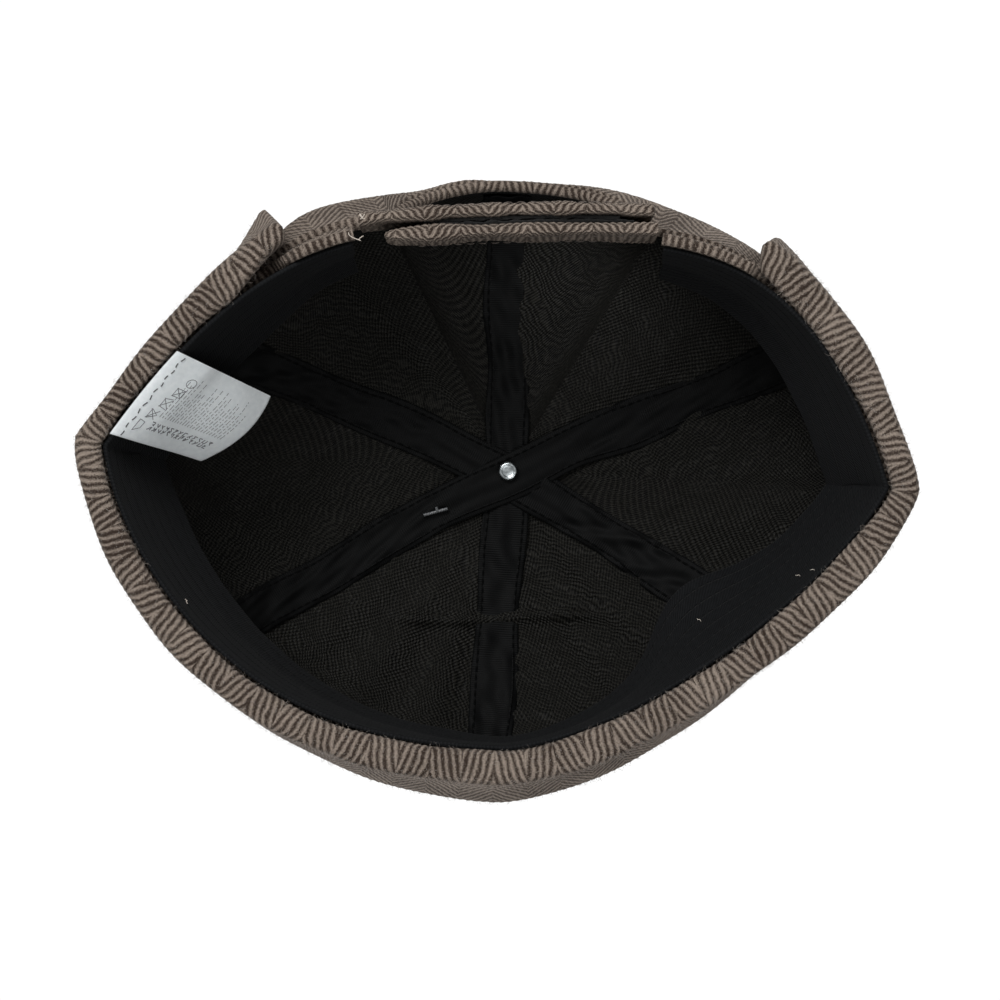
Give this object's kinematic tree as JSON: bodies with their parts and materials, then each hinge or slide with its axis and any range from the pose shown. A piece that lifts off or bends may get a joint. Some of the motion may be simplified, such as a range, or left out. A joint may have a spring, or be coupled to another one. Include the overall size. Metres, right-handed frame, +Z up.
{
  "type": "six-panel wool cap",
  "caption": "Panelled herringbone wool cap with a turned-up cuff, hook-and-loop back strap, half-moon opening, black mesh lining, taped seams and twill sweatband.",
  "frame": {"origin": "on the plane the cap stands on, inside the head opening, 9 mm in front of the crown's axis", "axes": "+Z up through the crown, the wearer faces -Y and the half-moon opening is at +Y, +X is the wearer's left"},
  "size_m": [0.2377, 0.1867, 0.0989],
  "materials": {
    "wool": "brown and beige herringbone wool, brushed",
    "lining": "black knitted mesh, slight sheen",
    "tape": "black satin seam tape",
    "twill": "black cotton twill with rows of stitching",
    "interlining": "stiff off-white interlining",
    "hook_and_loop": "black nylon hook and loop",
    "steel": "nickel-plated steel",
    "satin_label": null,
    "clear_plastic": "milky plastic tag fastener"
  },
  "bodies": {
    "cap": {"cuff": "wool", "cuff_interlining": "interlining", "headband": "wool", "headband_interlining": "interlining", "sweatband": "twill", "half_moon_facing": "tape", "crown_panel_1": "wool", "crown_panel_2": "wool", "crown_panel_3": "wool", "crown_panel_4": "wool", "crown_panel_5": "wool", "crown_panel_6": "wool", "crown_lining_1": "lining", "crown_lining_2": "lining", "crown_lining_3": "lining", "crown_lining_4": "lining", "crown_lining_5": "lining", "crown_lining_6": "lining", "seam_tape_centre": "tape", "seam_tape_left_back": "tape", "seam_tape_right_back": "tape", "button_cover": "wool", "button_shell": "steel", "button_prong": "steel", "rivet_cap": "steel", "tag_fastener": "clear_plastic"},
    "outer_strap": {"outer_tab": "wool", "hook_patch": "hook_and_loop"},
    "inner_strap": {"inner_tab": "wool", "loop_patch": "hook_and_loop"},
    "label": {"care_label": "satin_label"}
  },
  "joints": [
    {"name": "outer_strap_hinge", "type": "hinge", "parent": "cap", "child": "outer_strap", "pos_m": [0.03997, 0.0792, 0.012], "axis": [0, 0, 1], "range_deg": [-100, 0]},
    {"name": "inner_strap_hinge", "type": "hinge", "parent": "cap", "child": "inner_strap", "pos_m": [-0.04438, 0.07615, 0.012], "axis": [0, 0, 1], "range_deg": [-60, 0]},
    {"name": "label_hinge", "type": "hinge", "parent": "cap", "child": "label", "pos_m": [0.09784, 0.02837, 0.0013], "axis": [-0.5741, 0.8188, 0], "range_deg": [-45, 8]}
  ]
}
